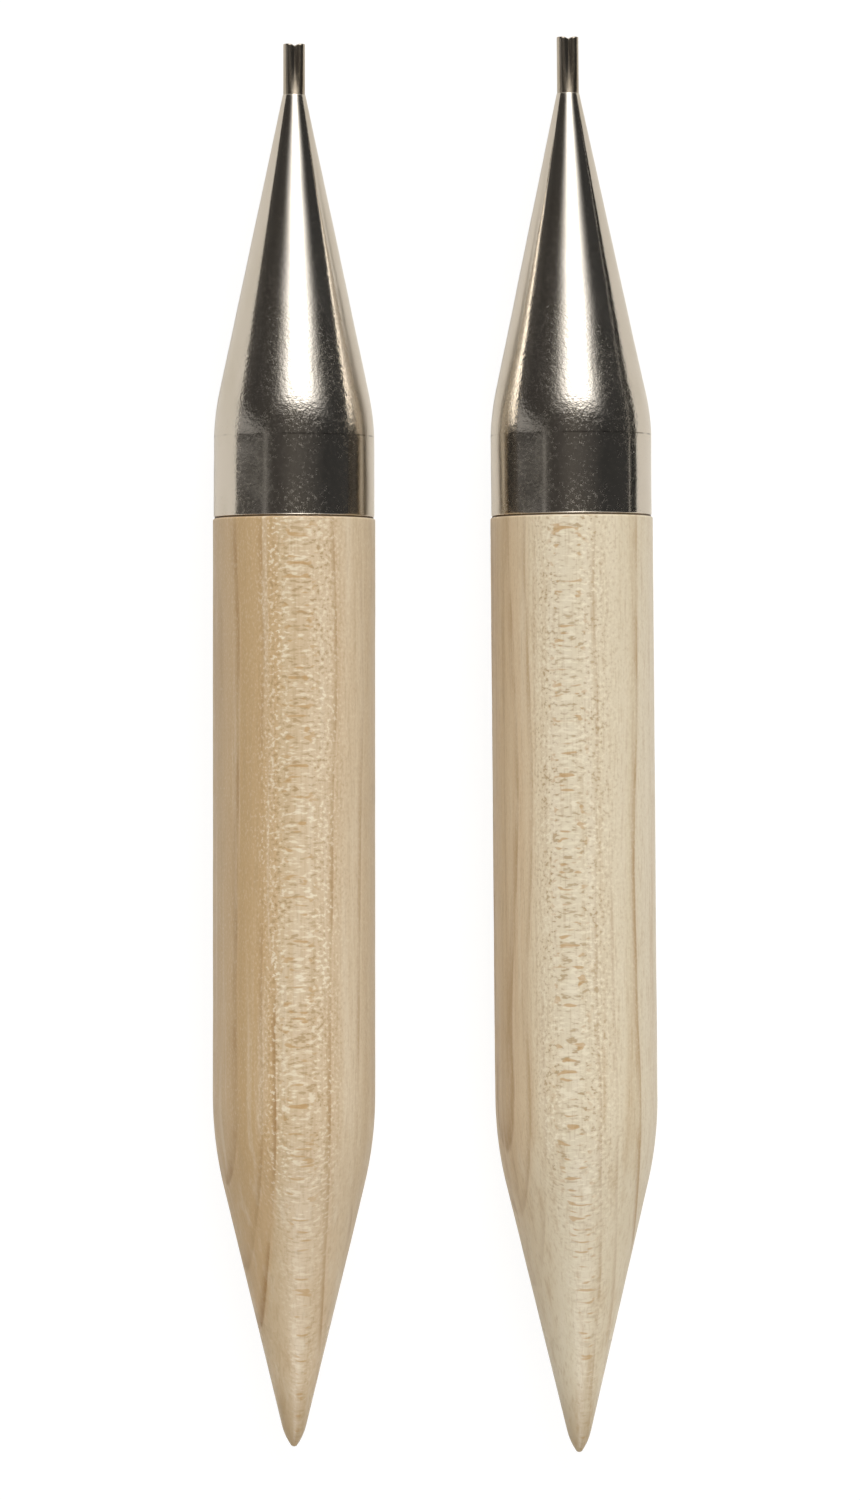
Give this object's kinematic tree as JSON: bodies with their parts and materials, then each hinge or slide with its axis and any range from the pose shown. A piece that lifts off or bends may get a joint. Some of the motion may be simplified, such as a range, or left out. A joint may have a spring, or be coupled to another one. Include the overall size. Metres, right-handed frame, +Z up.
{
  "type": "interchangeable knitting needle tips",
  "caption": "Pair of thick pointed wooden knitting needle tips with polished metal ferrules and grooved push-and-turn lock necks for a cord.",
  "frame": {"origin": "middle of the pair's footprint, on the surface that the tips lie on", "axes": "+Y along the tips towards the lock necks, -Y towards the points; +X from the left tip to the right tip; +Z up"},
  "size_m": [0.041, 0.13, 0.015],
  "materials": {
    "left_wood": "satin",
    "right_wood": "satin",
    "glue": "matte",
    "nickel_plate": "polished",
    "lock_tube_nickel": "polished"
  },
  "bodies": {
    "left_tip": {"left_wooden_shaft": "left_wood", "left_glue_film": "glue", "left_ferrule": "nickel_plate", "left_lock_tube": "lock_tube_nickel"},
    "right_tip": {"right_wooden_shaft": "right_wood", "right_glue_film": "glue", "right_ferrule": "nickel_plate", "right_lock_tube": "lock_tube_nickel"}
  },
  "joints": [
    {"name": "right_tip_lift", "type": "slide", "parent": "left_tip", "child": "right_tip", "axis": [0, 0, 1], "range_m": [0, 0.05]}
  ]
}
